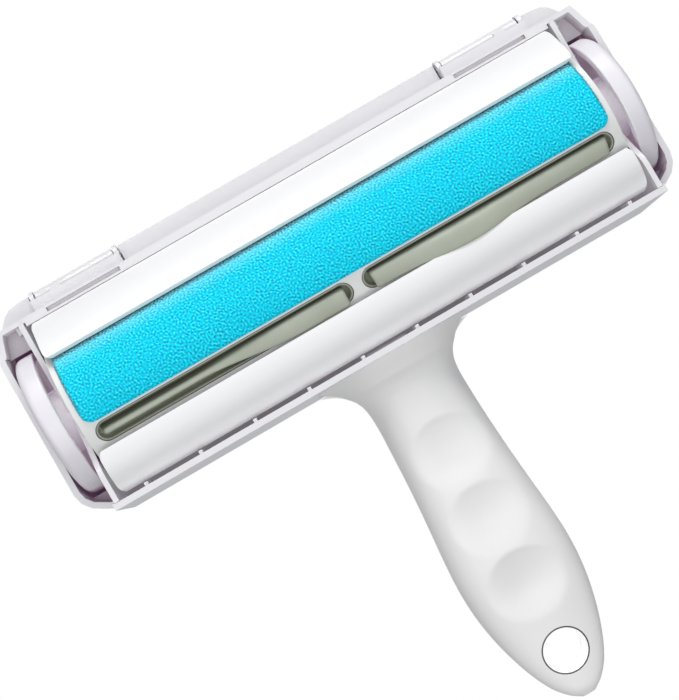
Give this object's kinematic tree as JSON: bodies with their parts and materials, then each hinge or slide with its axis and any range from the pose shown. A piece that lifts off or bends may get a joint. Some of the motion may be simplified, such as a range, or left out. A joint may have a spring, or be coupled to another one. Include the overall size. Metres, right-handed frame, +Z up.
{
  "type": "reusable pet hair lint roller",
  "caption": "Hand lint roller: a fabric-faced drum rocks under two scraper lips above a hinged dust-bin lid, with a T handle and hanging hole.",
  "frame": {"origin": "centre of the bounding box in plan, on the floor the tool lies on, working face down", "axes": "+X along the head, +Y towards the lid's hinge, the handle runs towards -Y, +Z up towards the lid"},
  "size_m": [0.195, 0.1794, 0.0611],
  "materials": {
    "shell_white": "smooth gloss",
    "lip_white": "smooth gloss",
    "handle_grey": "soft gloss",
    "drum_white": "satin",
    "wheel_white": "smooth gloss",
    "lint_pile": "short directional pile",
    "flap_rubber": "soft satin",
    "latch_white": "smooth gloss",
    "pin_steel": "drawn",
    "spring_steel": "drawn"
  },
  "bodies": {
    "housing": {"housing_frame": "shell_white", "bearing_plate_left": "shell_white", "bearing_plate_right": "shell_white", "front_lip": "lip_white", "rear_lip": "lip_white", "handle_lower": "handle_grey", "handle_upper": "handle_grey", "hinge_pins": "pin_steel", "latch_spring": "spring_steel"},
    "drum": {"drum_shell": "drum_white", "drum_back": "drum_white", "lint_fabric": "lint_pile", "flap_rear_left": "flap_rubber", "flap_rear_right": "flap_rubber", "flap_front_left": "flap_rubber", "flap_front_right": "flap_rubber", "end_wheel_left": "wheel_white", "end_wheel_right": "wheel_white"},
    "lid": {"dust_lid": "shell_white"},
    "latch": {"lid_latch": "latch_white"}
  },
  "joints": [
    {"name": "drum_rock", "type": "hinge", "parent": "housing", "child": "drum", "pos_m": [0, 0.05215, 0.0226], "axis": [-1, 0, 0], "range_deg": [0, 45]},
    {"name": "lid_hinge", "type": "hinge", "parent": "housing", "child": "lid", "pos_m": [0, 0.08655, 0.0238], "axis": [-1, 0, 0], "range_deg": [0, 105]},
    {"name": "latch_slide", "type": "slide", "parent": "housing", "child": "latch", "axis": [0, -1, 0], "range_m": [0, 0.003], "stiffness_N_per_m": 250, "springref_m": -0.002, "deforming": ["latch_spring"]}
  ]
}
